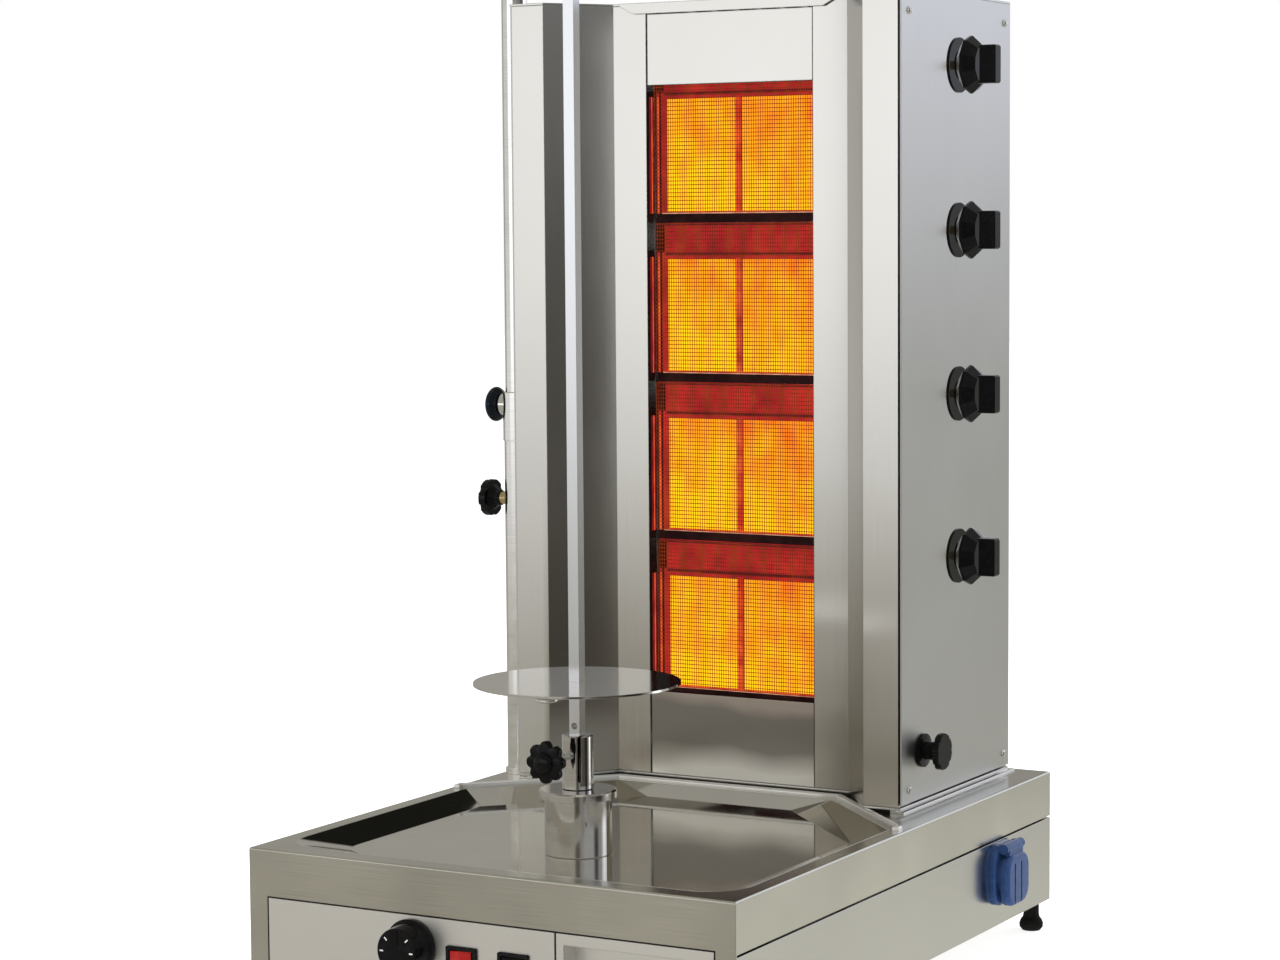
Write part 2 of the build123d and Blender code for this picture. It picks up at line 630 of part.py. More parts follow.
def rear_panel():
    panel = box(14 - T_HALF + 0.2, T_HALF - 14.2, T_REAR - 1.5, T_REAR, T_LOW, T_TOP - 2.2)
    for row in range(8):
        z = T_TOP - 70 - 14 * row
        for x in (-95, 95):
            panel = panel - box(x - 60, x + 60, T_REAR - 5, T_REAR + 5, z, z + 5)
    for row in range(5):
        z = T_LOW + 50 + 14 * row
        panel = panel - box(-155, 60, T_REAR - 5, T_REAR + 5, z, z + 5)
    return panel - rod_y(INLET_X, T_REAR - 5, T_REAR + 5, INLET_Z, 11.2)


def roof():
    z1 = T_TOP
    top = plan(tower_plan(0.0, T_REAR), z1 - 2.0, z1)
    lip_y = STRIP_Y - 3.5
    top = top + box(-112, 112, lip_y, STRIP_Y + 2, z1 - 2.0, z1)
    lip = make_face(Polyline((-112, 0, z1 - 2), (112, 0, z1 - 2), (97, 0, z1 - 10), (-97, 0, z1 - 10), close=True))
    top = top + Pos(0, lip_y, 0) * extrude(lip, 1.4, dir=(0, 1, 0))
    for i in range(9):
        x = -96 + 24 * i
        top = top - box(x - 4, x + 4, 170, 260, z1 - 5, z1 + 5)
    return top


def cover(z0, z1):
    half = MOUTH - 1.1
    panel = box(-half, half, STRIP_Y + 1.0, STRIP_Y + 2.5, z0, z1)
    fold_z = z1 - 1.5 if z0 < T_LOW else z0
    fold = box(-half, half, STRIP_Y + 2.5, STRIP_Y + 11, fold_z, fold_z + 1.5)
    return panel + fold


def cover_upper():
    return cover(BASE_TOP + 645, T_TOP - 10.5)


def cover_lower():
    return cover(BASE_TOP + 6.4, BASE_TOP + 83.6)


def burner(z):
    """Burner box with its black lower rail, its mixing tube and its mouth at the valve side."""
    shell = box(-82, 82, 143, 182, z - 60, z + 60)
    shell = fillet(shell.edges().filter_by(Axis.Y), 6)
    shell = shell - box(-79.5, 79.5, 130, 179.5, z - 57.5, z + 57.5)
    rail = box(-83.5, 83.5, 126.5, 134, z - PLATE_H / 2 - 8.3, z - PLATE_H / 2 - 0.4)
    shell = shell + rail + box(-83.5, 83.5, 134, 150, z - 60, z - PLATE_H / 2 - 0.4)
    tube = rod_x(80, 140, 160, z + 40, 15) - rod_x(70, 150, 160, z + 40, 13)
    shell = shell - rod_x(70, 90, 160, z + 40, 13)
    return shell + tube


def ceramic_plates():
    made = []
    for z in BURNER_Z:
        for side in (-1, 1):
            x = 1.5 + side * (PLATE_W + DIVIDER) / 2
            half = PLATE_W / 2
            tall = PLATE_H / 2
            made.append(box(x - half, x + half, 130, 142.8, z - tall, z + tall))
    return Compound(children=made)


def burner_frames():
    made = []
    for z in BURNER_Z:
        low = z - PLATE_H / 2
        frame = box(-83.8, 83.8, 127.6, 130, low, z + PLATE_H / 2 + 31.3)
        for side in (-1, 1):
            x = 1.5 + side * (PLATE_W + DIVIDER) / 2
            half = PLATE_W / 2 - 0.4
            frame = frame - box(x - half, x + half, 120, 135, low + 2, z + PLATE_H / 2 - 2)
        made.append(frame)
    return Compound(children=made)


def burner_mesh():
    made = []
    for z in BURNER_Z:
        low = z - PLATE_H / 2 + 1
        high = z + PLATE_H / 2 + 30.5
        count_x = 16
        count_z = 13
        wide = 167.0 / count_x
        tall = (high - low) / count_z
        wires = []
        for i in range(count_x):
            for j in range(count_z):
                x = -83.5 + wide * (i + 0.5)
                w = low + tall * (j + 0.5)
                wires.append(Pos(x, w) * Rectangle(wide - 1.0, tall - 1.0))
        sheet = Pos(0, (low + high) / 2) * Rectangle(167.0, high - low) - wires
        grid = extrude(sheet, 0.9, dir=(0, 0, 1))
        made.append(Pos(0, 124.4, 0) * Rot(90, 0, 0) * grid)
    return Compound(children=made)


def gas_manifold():
    low = INLET_Z - 10
    pipe = rod_z(PIPE_X, PIPE_Y, low, KNOB_Z[-1] + 20, 9.0) - rod_z(PIPE_X, PIPE_Y, low + 5, KNOB_Z[-1] + 10, 7.0)
    for z in KNOB_Z:
        pipe = pipe + rod_y(PIPE_X, KNOB_Y + 12, PIPE_Y - 7, z, 6.0)
    feed = rod_x(INLET_X, PIPE_X, PIPE_Y, INLET_Z, 9.0)
    inlet = rod_y(INLET_X, PIPE_Y, T_REAR + 26, INLET_Z, 9.0)
    thread = rod_y(INLET_X, T_REAR + 22, T_REAR + 44, INLET_Z, 10.48)
    nut = Pos(INLET_X, T_REAR + 14, INLET_Z) * Rot(90, 0, 0) * extrude(RegularPolygon(14, 6), 8, both=True)
    body = pipe + feed + inlet + thread + nut
    return body - rod_y(INLET_X, PIPE_Y + 11, T_REAR + 60, INLET_Z, 6.5)


def gas_valves():
    made = []
    for z, burner_z in zip(KNOB_Z, BURNER_Z):
        body = box(164, 189, KNOB_Y - 11, KNOB_Y + 12, z - 12, z + 12)
        body = fillet(body.edges().filter_by(Axis.X), 3)
        stem = rod_x(189, T_HALF, KNOB_Y, z, 4.6) + rod_x(T_HALF, T_HALF + 12, KNOB_Y, z, 4.0)
        drop = rod_z(158, KNOB_Y - 8, burner_z + 40, z + 3, 3.0) + rod_x(155, 168, KNOB_Y - 8, z, 3.0)
        jet = rod_x(142, 161, KNOB_Y - 8, burner_z + 40, 3.0)
        made.append(body + stem + drop + jet)
    return Compound(children=made)


def valve_knob(z):
    """Knob with a flat rear disc, a faceted skirt and a raised bar grip, on a valve stem."""
    sides = 10
    disc = Pos(0, 0, 2.1) * Cylinder(24.5, 2.6) + Pos(0, 0, 5.5) * Cylinder(13.0, 6.0)
    rear = loft([Pos(0, 0, 7) * RegularPolygon(17.0, sides), Pos(0, 0, 13) * RegularPolygon(25.6, sides)])
    rim = extrude(Pos(0, 0, 13) * RegularPolygon(25.6, sides), 2.6)
    front = loft([Pos(0, 0, 15.6) * RegularPolygon(25.6, sides), Pos(0, 0, 25) * RegularPolygon(17.0, sides)])
    grip = Pos(0, 0, 29) * Box(34, 14, 22)
    grip = fillet(grip.edges().filter_by(Axis.Z), 2.5)
    grip = chamfer(grip.faces().sort_by(Axis.Z)[-1].edges(), 1.2)
    knob = disc + rear + rim + front + grip
    knob = knob - Pos(0, 0, 6) * Cylinder(4.05, 14)
    return Pos(T_HALF, KNOB_Y, z) * Rot(0, 90, 0) * knob


def tower_clamp_knob():
    y, z = TOWER_KNOB
    head = fillet(lobed(16.2, 8, 2.6, 5.6).edges().group_by(Axis.Z)[-1], 1.2)
    neck = revolved([(0, -15.4), (15.0, -15.4), (15.0, -13.6), (8.2, -12.6), (8.2, -3.5), (13.0, 0), (0, 0)])
    knob = Pos(T_HALF + 16.0, y, z) * Rot(0, 90, 0) * (head + neck)
    return knob + rod_x(T_HALF - 30, T_HALF + 3, y, z, 4.0)


NODES = {
    "base_shell": base_shell,
    "top_pan": top_pan,
    "drip_tray": drip_tray,
    "rear_lip": rear_lip,
    "feet": feet,
    "control_panel": control_panel,
    "regulator_body": regulator_body,
    "thermostat_dial": thermostat_dial,
    "rocker_bezels": rocker_bezels,
    "red_rocker": lambda: rocker(RED_X),
    "black_rocker": lambda: rocker(BLACK_X),
    "drawer_front": drawer_front,
    "drawer_pan": drawer_pan,
    "drawer_runners": drawer_runners,
    "cable_gland": cable_gland,
    "socket_body": socket_body,
    "socket_lid": socket_lid,
    "gear_motor": gear_motor,
    "motor_bracket": motor_bracket,
    "drive_shaft": drive_shaft,
    "bearing_housing": bearing_housing,
    "bearing_cap": bearing_cap,
    "spit_coupling": spit_coupling,
    "coupling_knob": coupling_knob,
    "spit_bar": spit_bar,
    "disc_clip": disc_clip,
    "meat_disc": meat_disc,
    "column_tube": column_tube,
    "column_collar": column_collar,
    "column_clamp_bush": column_clamp_bush,
    "column_clamp_knob": column_clamp_knob,
    "index_knob": index_knob,
    "column_rod": column_rod,
    "top_arm": top_arm,
    "arm_bush": arm_bush,
    "slide_rails": slide_rails,
    "tower_floor": tower_floor,
    "wing_right": wing_right,
    "wing_left": lambda: mirrored(wing_right()),
    "side_panel_right": side_panel_right,
    "side_panel_left": side_panel_left,
    "tower_screws": tower_screws,
    "rear_panel": rear_panel,
    "roof": roof,
    "cover_upper": cover_upper,
    "cover_lower": cover_lower,
    "burner_1": lambda: burner(BURNER_Z[0]),
    "burner_2": lambda: burner(BURNER_Z[1]),
    "burner_3": lambda: burner(BURNER_Z[2]),
    "burner_4": lambda: burner(BURNER_Z[3]),
    "ceramic_plates": ceramic_plates,
    "burner_frames": burner_frames,
    "burner_mesh": burner_mesh,
    "gas_manifold": gas_manifold,
    "gas_valves": gas_valves,
    "valve_knob_1": lambda: valve_knob(KNOB_Z[0]),
    "valve_knob_2": lambda: valve_knob(KNOB_Z[1]),
    "valve_knob_3": lambda: valve_knob(KNOB_Z[2]),
    "valve_knob_4": lambda: valve_knob(KNOB_Z[3]),
    "tower_clamp_knob": tower_clamp_knob,
}

for name, make in NODES.items():
    export_step(make(), "parts/" + name + ".step")
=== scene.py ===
import math

import bmesh
import bpy
from mathutils import Matrix, Vector


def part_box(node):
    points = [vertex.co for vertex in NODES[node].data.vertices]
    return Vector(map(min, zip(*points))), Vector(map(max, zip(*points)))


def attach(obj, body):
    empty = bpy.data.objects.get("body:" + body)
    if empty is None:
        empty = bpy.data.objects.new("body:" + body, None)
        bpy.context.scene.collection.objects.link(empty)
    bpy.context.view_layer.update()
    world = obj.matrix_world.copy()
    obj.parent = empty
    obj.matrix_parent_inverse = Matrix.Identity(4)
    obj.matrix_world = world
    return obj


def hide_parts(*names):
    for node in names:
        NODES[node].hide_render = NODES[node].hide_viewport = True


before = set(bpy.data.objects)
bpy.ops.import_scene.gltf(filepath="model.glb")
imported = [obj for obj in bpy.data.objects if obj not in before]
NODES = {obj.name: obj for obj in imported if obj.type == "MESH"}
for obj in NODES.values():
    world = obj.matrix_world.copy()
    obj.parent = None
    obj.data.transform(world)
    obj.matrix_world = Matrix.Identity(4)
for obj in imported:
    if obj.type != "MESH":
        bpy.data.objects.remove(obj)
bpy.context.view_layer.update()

# ------------------------------------------------------------------ shader helpers


class Shader:
    """A node material with a Principled surface."""

    def __init__(self, name, colour, metallic=0.0, roughness=0.5, specular=0.5):
        self.mat = bpy.data.materials.new(name)
        self.mat.use_nodes = True
        self.tree = self.mat.node_tree
        self.surface = self.tree.nodes["Principled BSDF"]
        self.put("Base Color", (*colour, 1.0))
        self.put("Metallic", metallic)
        self.put("Roughness", roughness)
        self.put("Specular IOR Level", specular)

    def put(self, socket, value):
        self.surface.inputs[socket].default_value = value

    def node(self, kind, **values):
        made = self.tree.nodes.new(kind)
        for key, value in values.items():
            setattr(made, key, value)
        return made

    def link(self, source, target):
        self.tree.links.new(source, target)

    def coords(self, scale=(1.0, 1.0, 1.0), shift=(0.0, 0.0, 0.0)):
        place = self.node("ShaderNodeTexCoord")
        mapping = self.node("ShaderNodeMapping")
        mapping.inputs["Scale"].default_value = scale
        mapping.inputs["Location"].default_value = shift
        self.link(place.outputs["Object"], mapping.inputs["Vector"])
        return mapping.outputs["Vector"]

    def axes(self):
        """X, Y and Z of a point on the object."""
        split = self.node("ShaderNodeSeparateXYZ")
        self.link(self.coords(), split.inputs["Vector"])
        return split

    def noise(self, vector, scale, detail=3.0, rough=0.5):
        made = self.node("ShaderNodeTexNoise")
        made.inputs["Scale"].default_value = scale
        made.inputs["Detail"].default_value = detail
        made.inputs["Roughness"].default_value = rough
        self.link(vector, made.inputs["Vector"])
        return made.outputs["Fac"]

    def span(self, value, low, high, from_low=0.0, from_high=1.0):
        made = self.node("ShaderNodeMapRange")
        made.inputs["From Min"].default_value = from_low
        made.inputs["From Max"].default_value = from_high
        made.inputs["To Min"].default_value = low
        made.inputs["To Max"].default_value = high
        self.link(value, made.inputs["Value"])
        return made.outputs["Result"]

    def math(self, how, a, b):
        made = self.node("ShaderNodeMath", operation=how)
        for socket, value in zip(made.inputs, (a, b)):
            if isinstance(value, (int, float)):
                socket.default_value = value
            else:
                self.link(value, socket)
        return made.outputs[0]

    def mix(self, fac, a, b):
        made = self.node("ShaderNodeMix", data_type="RGBA")
        self.link(fac, made.inputs["Factor"])
        for socket, value in ((made.inputs[6], a), (made.inputs[7], b)):
            if isinstance(value, tuple):
                socket.default_value = (*value, 1.0)
            else:
                self.link(value, socket)
        return made.outputs[2]

    def tone(self, colour, factor):
        """Surface colour lightened or darkened by a factor."""
        made = self.node("ShaderNodeVectorMath", operation="SCALE")
        if isinstance(colour, tuple):
            made.inputs[0].default_value = colour
        else:
            self.link(colour, made.inputs[0])
        self.link(factor, made.inputs["Scale"])
        self.link(made.outputs["Vector"], self.surface.inputs["Base Color"])

    def bump(self, height, strength, distance, radius=0.0):
        made = self.node("ShaderNodeBump")
        made.inputs["Strength"].default_value = strength
        made.inputs["Distance"].default_value = distance
        self.link(height, made.inputs["Height"])
        if radius > 0:
            bevel = self.node("ShaderNodeBevel", samples=4)
            bevel.inputs["Radius"].default_value = radius
            self.link(bevel.outputs["Normal"], made.inputs["Normal"])
        self.link(made.outputs["Normal"], self.surface.inputs["Normal"])

    def swing(self, noise, low, high):
        """A noise's usual middle range, spread between two values."""
        return self.span(noise, low, high, 0.3, 0.7)

    def roughen(self, rough, change):
        self.link(self.math("ADD", change, rough), self.surface.inputs["Roughness"])


GRAIN_FINE = 1500.0
GRAIN_LONG = 14.0
EASED = 0.0008


def satin(name, colour, grain, rough=0.19, radius=0.0009, cloud=0.03, lines=0.02, painted_light=None):
    """Satin stainless: hair-fine grain along one axis under soft uneven patches, and an optional painted
    shade that darkens it towards the foot.
    """
    sh = Shader(name, colour, metallic=1.0, roughness=rough)
    steel = colour
    # Painted shade: where asked, the steel is mixed towards a darker colour down towards the foot.
    if painted_light:
        shaded_colour, z_unshaded, z_shaded, x_unshaded, x_shaded = painted_light
        split = sh.axes()
        down = sh.span(split.outputs["Z"], 0.0, 1.0, z_unshaded, z_shaded)
        across = sh.span(split.outputs["X"], 0.0, 1.0, x_unshaded, x_shaded)
        steel = sh.mix(sh.math("MULTIPLY", down, across), colour, shaded_colour)
    scale = [GRAIN_FINE] * 3
    scale["XYZ".index(grain)] = GRAIN_LONG
    hair = sh.noise(sh.coords(scale=tuple(scale)), 1.0, detail=3.0)
    patch = sh.noise(sh.coords(shift=(0.7, 2.2, 1.3)), 6.0, detail=2.0)
    shade = sh.math("ADD", sh.swing(hair, -lines, lines), sh.swing(patch, -cloud, cloud))
    sh.tone(steel, sh.math("ADD", shade, 1.0))
    sh.roughen(rough, sh.math("ADD", sh.swing(hair, -0.012, 0.012), sh.swing(patch, -0.015, 0.02)))
    sh.bump(hair, 0.015, 0.00002, radius)
    return sh.mat


def shaded_cover(name, low, high):
    """Satin cover under a burner: darker in its upper part through a painted shade, and lighter again along
    its foot.
    """
    sh = Shader(name, (0.5, 0.48, 0.44), metallic=1.0, roughness=0.2)
    hair = sh.noise(sh.coords(scale=(GRAIN_LONG, GRAIN_FINE, GRAIN_FINE)), 1.0)
    patch = sh.noise(sh.coords(shift=(0.7, 2.2, 1.3)), 9.0, detail=2.0)
    # Painted shade: the upper part is mixed towards dark colours, the foot back towards plain steel.
    split = sh.axes()
    down = sh.span(split.outputs["Z"], 0.0, 1.0, high.z, low.z)
    depth = sh.math("ADD", down, sh.swing(patch, -0.1, 0.1))
    shaded_colour = sh.mix(sh.span(depth, 0.0, 1.0, 0.02, 0.16), (0.50, 0.43, 0.385), (0.285, 0.268, 0.245))
    lighter_foot = sh.mix(sh.span(depth, 0.0, 1.0, 0.60, 0.92), shaded_colour, (0.74, 0.73, 0.69))
    sh.link(lighter_foot, sh.surface.inputs["Base Color"])
    sh.bump(hair, 0.015, 0.00002, 0.0009)
    return sh.mat


def mirror(name, colour, rough, wave, metallic=1.0):
    """Bright-annealed sheet: sharp reflections that swim slightly where the sheet is not flat."""
    sh = Shader(name, colour, metallic=metallic, roughness=rough)
    smear = sh.noise(sh.coords(shift=(1.1, 0.4, 0.8)), 14.0, detail=4.0)
    fine = sh.noise(sh.coords(scale=(900.0, 60.0, 900.0)), 1.0, detail=2.0)
    sh.tone(colour, sh.math("ADD", sh.swing(smear, -0.04, 0.04), sh.swing(fine, 0.985, 1.015)))
    sh.roughen(rough, sh.swing(smear, -0.02, 0.03))
    swell = sh.noise(sh.coords(), 9.0, detail=1.0)
    sh.bump(swell, wave, 0.0006, EASED)
    return sh.mat


def turned(name, colour, rough):
    """Lathe-turned steel: fine rings around a vertical axis and light rubbing."""
    sh = Shader(name, colour, metallic=1.0, roughness=rough)
    rings = sh.noise(sh.coords(scale=(4.0, 4.0, 1800.0)), 1.0, detail=2.0)
    wear = sh.noise(sh.coords(), 55.0, detail=4.0)
    sh.tone(colour, sh.math("ADD", sh.swing(rings, -0.07, 0.07), sh.swing(wear, 0.95, 1.05)))
    sh.roughen(rough, sh.swing(wear, -0.03, 0.04))
    sh.bump(rings, 0.08, 0.00002, 0.0006)
    return sh.mat


def plastic(name, colour, rough=0.12, coat=0.22, grain=0.10, worn=0.003):
    """Moulded plastic: fine orange peel and a little handling wear."""
    sh = Shader(name, colour, roughness=rough, specular=0.06)
    sh.put("Coat Weight", coat)
    sh.put("Coat Roughness", 0.05)
    peel = sh.noise(sh.coords(), 900.0, detail=2.0)
    wear = sh.noise(sh.coords(shift=(0.4, 0.9, 1.6)), 120.0, detail=5.0, rough=0.65)
    lighter = tuple(min(1.0, c * 1.25 + worn) for c in colour)
    sh.link(sh.mix(sh.span(wear, 0.0, 1.0, 0.45, 0.75), colour, lighter), sh.surface.inputs["Base Color"])
    sh.roughen(rough, sh.swing(wear, -0.04, 0.08))
    sh.bump(peel, grain, 0.00004, EASED)
    return sh.mat


def painted(name, colour, rough):
    """Paint with a light pebble, rubbed lighter in patches."""
    sh = Shader(name, colour, roughness=rough, specular=0.4)
    pebble = sh.noise(sh.coords(), 350.0, detail=4.0)
    wear = sh.noise(sh.coords(shift=(0.3, 0.8, 0.1)), 70.0, detail=6.0, rough=0.7)
    rubbed = tuple(min(1.0, c * 1.5 + 0.02) for c in colour)
    sh.link(sh.mix(sh.span(wear, 0.0, 1.0, 0.5, 0.7), colour, rubbed), sh.surface.inputs["Base Color"])
    sh.bump(pebble, 0.4, 0.0002, EASED)
    return sh.mat


def yellow_metal(name, colour):
    """Brass or bronze with tarnish."""
    sh = Shader(name, colour, metallic=1.0)
    tarnish = sh.noise(sh.coords(), 55.0, detail=6.0, rough=0.65)
    darker = tuple(c * f for c, f in zip(colour, (0.62, 0.5, 0.42)))
    sh.link(sh.mix(sh.span(tarnish, 0.0, 0.8, 0.45, 0.7), colour, darker), sh.surface.inputs["Base Color"])
    sh.roughen(0.25, sh.swing(tarnish, -0.05, 0.15))
    sh.bump(tarnish, 0.2, 0.0001, 0.0006)
    return sh.mat


def glowing(name, cool, hot, power, scale=16.0, body=(0.02, 0.006, 0.004)):
    """Glowing surface whose brightness wanders slowly across it: heat glow on the burners, and painted glow
    for highlights, shadows and reflections elsewhere.
    """
    sh = Shader(name, body, roughness=0.85, specular=0.05)
    slow = sh.noise(sh.coords(), scale, detail=3.0)
    grit = sh.noise(sh.coords(), 420.0, detail=2.0)
    tone = sh.mix(sh.span(slow, 0.0, 1.0, 0.35, 0.65), cool, hot)
    tone = sh.mix(sh.span(grit, 0.0, 0.3, 0.45, 0.7), tone, cool)
    sh.link(tone, sh.surface.inputs["Emission Color"])
    sh.put("Emission Strength", power)
    sh.bump(grit, 0.3, 0.0003)
    return sh.mat


def ceramic(name, power, tile_low, pitch, tile_high):
    """Perforated burner plates: yellow-hot low down, orange towards the upper right corner."""
    sh = Shader(name, (0.03, 0.012, 0.004), roughness=0.9, specular=0.02)
    spot = sh.coords()
    split = sh.node("ShaderNodeSeparateXYZ")
    sh.link(spot, split.inputs["Vector"])
    level = sh.math("MODULO", sh.math("SUBTRACT", split.outputs["Z"], tile_low), pitch)
    rise = sh.span(level, 0.0, 0.62, 0.0, tile_high)
    across = sh.span(split.outputs["X"], -0.12, 0.28, -0.075, 0.078)
    cloud = sh.swing(sh.noise(spot, 30.0, detail=3.0), -0.35, 0.35)
    heat = sh.math("ADD", sh.math("ADD", rise, across), cloud)
    tone = sh.mix(heat, (1.0, 0.545, 0.008), (0.88, 0.17, 0.012))
    holes = sh.node("ShaderNodeTexVoronoi", feature="F1")
    holes.inputs["Scale"].default_value = 560.0
    holes.inputs["Randomness"].default_value = 0.15
    sh.link(spot, holes.inputs["Vector"])
    tone = sh.mix(sh.span(holes.outputs["Distance"], 0.35, 0.0, 0.12, 0.34), tone, (0.72, 0.16, 0.006))
    sh.link(tone, sh.surface.inputs["Emission Color"])
    sh.put("Emission Strength", power)
    sh.bump(holes.outputs["Distance"], 0.4, 0.0004)
    return sh.mat


# ------------------------------------------------------------------ mesh helpers


def finish_mesh(name, bm, material, body, smooth=True):
    mesh = bpy.data.meshes.new(name)
    bmesh.ops.recalc_face_normals(bm, faces=bm.faces)
    bm.to_mesh(mesh)
    bm.free()
    obj = bpy.data.objects.new(name, mesh)
    bpy.context.scene.collection.objects.link(obj)
    obj.data.materials.append(material)
    if smooth:
        obj.data.shade_smooth()
        obj.data.set_sharp_from_angle(angle=math.radians(35))
    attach(obj, body)
    return obj


def bar(bm, start, end, radius):
    """A straight four-sided wire between two points."""
    a, b = Vector(start), Vector(end)
    turn = (b - a).to_track_quat("Z", "Y").to_matrix().to_4x4()
    place = Matrix.Translation((a + b) / 2) @ turn
    bmesh.ops.create_cone(bm, cap_ends=True, segments=4, radius1=radius, radius2=radius,
                          depth=(b - a).length, matrix=place)


def use(material, *names):
    for name in names:
        mesh = NODES[name].data
        mesh.materials.clear()
        mesh.materials.append(material)


# ------------------------------------------------------------------ camera, light and floor

FOCAL = 86.79
CAMERA_AT = Vector((1.3114, -2.3803, 0.66495))
YAW, PITCH, ROLL = math.radians(29.44), math.radians(4.681), math.radians(-0.418)


def make_camera():
    ahead = Vector((-math.sin(YAW) * math.cos(PITCH), math.cos(YAW) * math.cos(PITCH), -math.sin(PITCH)))
    side = Vector((math.cos(YAW), math.sin(YAW), 0.0))
    up = side.cross(ahead)
    right = side * math.cos(ROLL) + up * math.sin(ROLL)
    top = up * math.cos(ROLL) - side * math.sin(ROLL)
    turn = Matrix((right, top, -ahead)).transposed().to_4x4()
    data = bpy.data.cameras.new("camera")
    data.lens = FOCAL
    data.sensor_width = 36.0
    camera = bpy.data.objects.new("camera", data)
    camera.matrix_world = Matrix.Translation(CAMERA_AT) @ turn
    bpy.context.scene.collection.objects.link(camera)
    bpy.context.scene.camera = camera


def softbox(name, at, aim, side, power):
    """A square lamp that lights the surfaces but is not itself seen in the steel."""
    data = bpy.data.lights.new(name, "AREA")
    data.shape = "SQUARE"
    data.size = side
    data.energy = power
    lamp = bpy.data.objects.new(name, data)
    lamp.location = at
    lamp.rotation_euler = (Vector(aim) - Vector(at)).to_track_quat("-Z", "Y").to_euler()
    lamp.visible_glossy = False
    bpy.context.scene.collection.objects.link(lamp)


def make_floor():
    """Pale floor seen by the camera; mirrors see the studio around it instead."""
    bm = bmesh.new()
    bmesh.ops.create_grid(bm, x_segments=2, y_segments=2, size=14.0)
    mesh = bpy.data.meshes.new("floor")
    bm.to_mesh(mesh)
    bm.free()
    floor = bpy.data.objects.new("floor", mesh)
    floor.location = (0.0, 0.0, -0.0005)
    bpy.context.scene.collection.objects.link(floor)
    sh = Shader("floor_paper", (0.90, 0.90, 0.90), roughness=0.8, specular=0.0)
    sh.put("Emission Color", (1.0, 1.0, 1.0, 1.0))
    sh.put("Emission Strength", 0.8)
    sh.bump(sh.noise(sh.coords(), 60.0), 0.05, 0.001)
    floor.data.materials.append(sh.mat)
    floor.visible_glossy = False


class Studio:
    """World colour by direction: broad soft cards around the object."""

    def __init__(self, ground):
        self.world = bpy.data.worlds.new("studio")
        self.world.use_nodes = True
        self.tree = self.world.node_tree
        bpy.context.scene.world = self.world
        place = self.tree.nodes.new("ShaderNodeTexCoord")
        self.direction = place.outputs["Generated"]
        self.colour = None
        self.ground = ground

    def node(self, kind, **values):
        made = self.tree.nodes.new(kind)
        for key, value in values.items():
            setattr(made, key, value)
        return made

    def soft_step(self, value, low, high):
        made = self.node("ShaderNodeMapRange", interpolation_type="SMOOTHSTEP")
        made.inputs["From Min"].default_value = low
        made.inputs["From Max"].default_value = high
        self.tree.links.new(value, made.inputs["Value"])
        return made.outputs["Result"]

    def toward(self, aim):
        made = self.node("ShaderNodeVectorMath", operation="DOT_PRODUCT")
        self.tree.links.new(self.direction, made.inputs[0])
        made.inputs[1].default_value = Vector(aim).normalized()
        return made.outputs["Value"]

    def both(self, a, b):
        made = self.node("ShaderNodeMath", operation="MULTIPLY")
        self.tree.links.new(a, made.inputs[0])
        self.tree.links.new(b, made.inputs[1])
        return made.outputs[0]

    def lay(self, factor, colour):
        """Lay a card of one colour over what is already there."""
        made = self.node("ShaderNodeMix", data_type="RGBA")
        self.tree.links.new(factor, made.inputs["Factor"])
        if self.colour is None:
            made.inputs[6].default_value = (*self.ground, 1.0)
        else:
            self.tree.links.new(self.colour, made.inputs[6])
        made.inputs[7].default_value = (*colour, 1.0)
        self.colour = made.outputs[2]

    def finish(self, backdrop):
        """The camera sees a plain white backdrop; light and reflections come from the cards."""
        path = self.node("ShaderNodeLightPath")
        made = self.node("ShaderNodeMix", data_type="RGBA")
        self.tree.links.new(path.outputs["Is Camera Ray"], made.inputs["Factor"])
        self.tree.links.new(self.colour, made.inputs[6])
        made.inputs[7].default_value = (*backdrop, 1.0)
        sky = self.tree.nodes["Background"]
        self.tree.links.new(made.outputs[2], sky.inputs["Color"])
        sky.inputs["Strength"].default_value = 1.0


